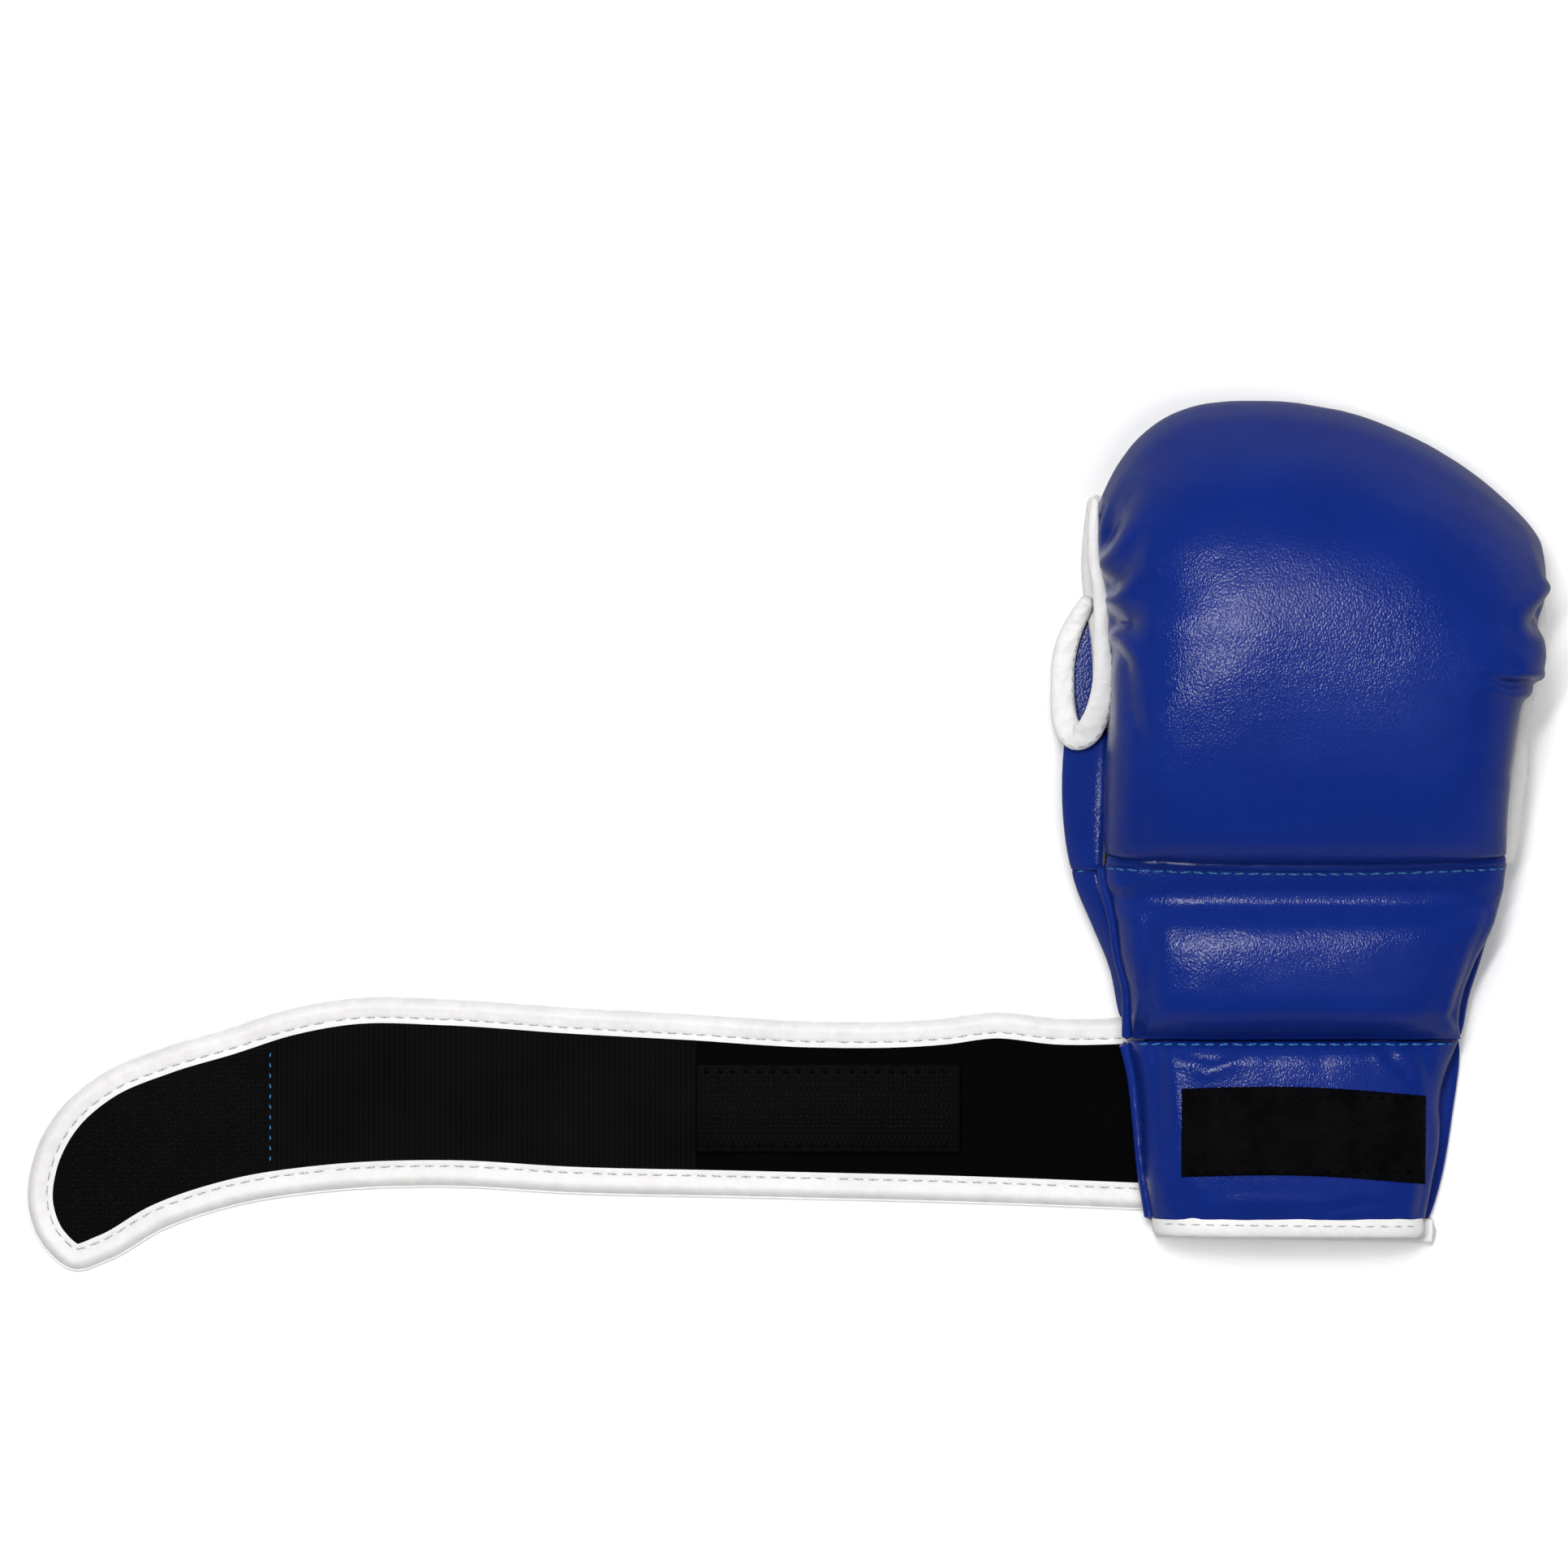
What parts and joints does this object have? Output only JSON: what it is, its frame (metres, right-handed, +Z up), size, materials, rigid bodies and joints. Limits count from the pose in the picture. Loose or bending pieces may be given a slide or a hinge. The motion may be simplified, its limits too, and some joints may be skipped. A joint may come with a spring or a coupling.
{
  "type": "mma glove",
  "caption": "Right-hand sparring glove with a thick curved knuckle pad, bound thumb loop, finger loops and a long wrap-around wrist strap, lying palm down with the strap open.",
  "frame": {"origin": "middle of the cuff's resting face, on the table, under the centre line of the wrist strap", "axes": "+X towards the little-finger side, away from the strap's tip; +Y towards the fingertips; +Z up, out of the back of the hand"},
  "size_m": [0.4393, 0.2528, 0.0616],
  "materials": {
    "blue_leather": "semi-gloss fine-grain synthetic leather",
    "white_tape": "semi-gloss binding tape",
    "strap_leather": "semi-gloss synthetic leather outer face of the strap",
    "black_fabric": "matte woven lining fabric",
    "black_elastic": "ribbed elastic webbing",
    "hook_fastener": "hook side of a touch fastener",
    "loop_fastener": "velvety loop side of a touch fastener",
    "grey_foam": "closed-cell foam",
    "light_foam": "softer open-cell foam",
    "blue_thread": "polyester sewing thread",
    "black_thread": "polyester sewing thread"
  },
  "bodies": {
    "cuff": {"cuff_back_cover": "blue_leather", "cuff_back_foam": "grey_foam", "cuff_lining": "black_fabric", "cuff_palm_panel": "blue_leather", "cuff_thumb_piping": "blue_leather", "cuff_hem_binding_back": "white_tape", "cuff_hem_binding_palm": "white_tape", "wrist_seam_stitching": "blue_thread", "loop_patch": "loop_fastener", "loop_patch_stitching": "black_thread", "strap_root_face": "strap_leather", "strap_root_inner": "black_fabric", "strap_root_binding": "white_tape"},
    "hand": {"hand_back_cover": "blue_leather", "hand_back_foam": "grey_foam", "hand_lining": "black_fabric", "palm_heel_panel": "blue_leather", "hand_thumb_piping": "blue_leather", "thumb_side_gusset": "blue_leather", "little_side_gusset": "white_tape", "seam_welt": "blue_leather", "welt_stitching": "blue_thread"},
    "fingers": {"knuckle_pad_cover": "blue_leather", "knuckle_foam_outer": "grey_foam", "knuckle_foam_inner": "light_foam", "knuckle_lining": "black_fabric", "thumb_edge_binding": "white_tape", "little_edge_gusset": "white_tape", "thumb_base_gusset": "blue_leather", "finger_palm_panel": "blue_leather", "finger_panel_binding": "white_tape", "finger_loop_index": "black_fabric", "finger_loop_middle": "black_fabric", "finger_loop_ring": "black_fabric", "finger_loop_little": "black_fabric"},
    "thumb_loop": {"thumb_loop_panel": "blue_leather", "thumb_loop_binding": "white_tape"},
    "strap_thumb_side": {"strap_thumb_side_face": "strap_leather", "strap_thumb_side_inner": "black_fabric", "strap_thumb_side_binding": "white_tape"},
    "strap_back": {"strap_back_face": "strap_leather", "strap_back_inner": "black_fabric", "strap_back_binding": "white_tape", "hook_patch": "hook_fastener", "hook_patch_stitching": "black_thread"},
    "strap_little_side": {"strap_little_side_face": "strap_leather", "strap_little_side_elastic": "black_elastic", "strap_little_side_binding": "white_tape"},
    "strap_palm": {"strap_palm_face": "strap_leather", "strap_palm_elastic": "black_elastic", "strap_palm_binding": "white_tape", "strap_palm_hook_panel": "hook_fastener", "tip_panel_stitching": "blue_thread"},
    "strap_tip": {"strap_tip_face": "strap_leather", "strap_tip_hook_panel": "hook_fastener", "strap_tip_binding": "white_tape"}
  },
  "joints": [
    {"name": "wrist_flex", "type": "hinge", "parent": "cuff", "child": "hand", "pos_m": [0, 0.0235, 0.021], "axis": [-1, 0, 0], "range_deg": [-25, 10]},
    {"name": "knuckle_curl", "type": "hinge", "parent": "hand", "child": "fingers", "pos_m": [0, 0.0755, 0.02], "axis": [-1, 0, 0], "range_deg": [0, 25]},
    {"name": "thumb_loop_swing", "type": "hinge", "parent": "fingers", "child": "thumb_loop", "pos_m": [-0.059, 0.1075, 0.003], "axis": [0, 1, 0], "range_deg": [-12, 35]},
    {"name": "strap_fold_1", "type": "hinge", "parent": "cuff", "child": "strap_thumb_side", "pos_m": [-0.055, 0.002, 0.0038], "axis": [0, 1, 0], "range_deg": [0, 90]},
    {"name": "strap_fold_2", "type": "hinge", "parent": "strap_thumb_side", "child": "strap_back", "pos_m": [-0.079, 0.002, 0.0038], "axis": [0, 1, 0], "range_deg": [0, 90]},
    {"name": "strap_fold_3", "type": "hinge", "parent": "strap_back", "child": "strap_little_side", "pos_m": [-0.189, 0.002, 0.0038], "axis": [0, 1, 0], "range_deg": [0, 90]},
    {"name": "strap_fold_4", "type": "hinge", "parent": "strap_little_side", "child": "strap_palm", "pos_m": [-0.221, 0.002, 0.0038], "axis": [0, 1, 0], "range_deg": [0, 90]},
    {"name": "strap_fold_5", "type": "hinge", "parent": "strap_palm", "child": "strap_tip", "pos_m": [-0.336, 0.002, 0.0038], "axis": [0, 1, 0], "range_deg": [0, 90]}
  ]
}
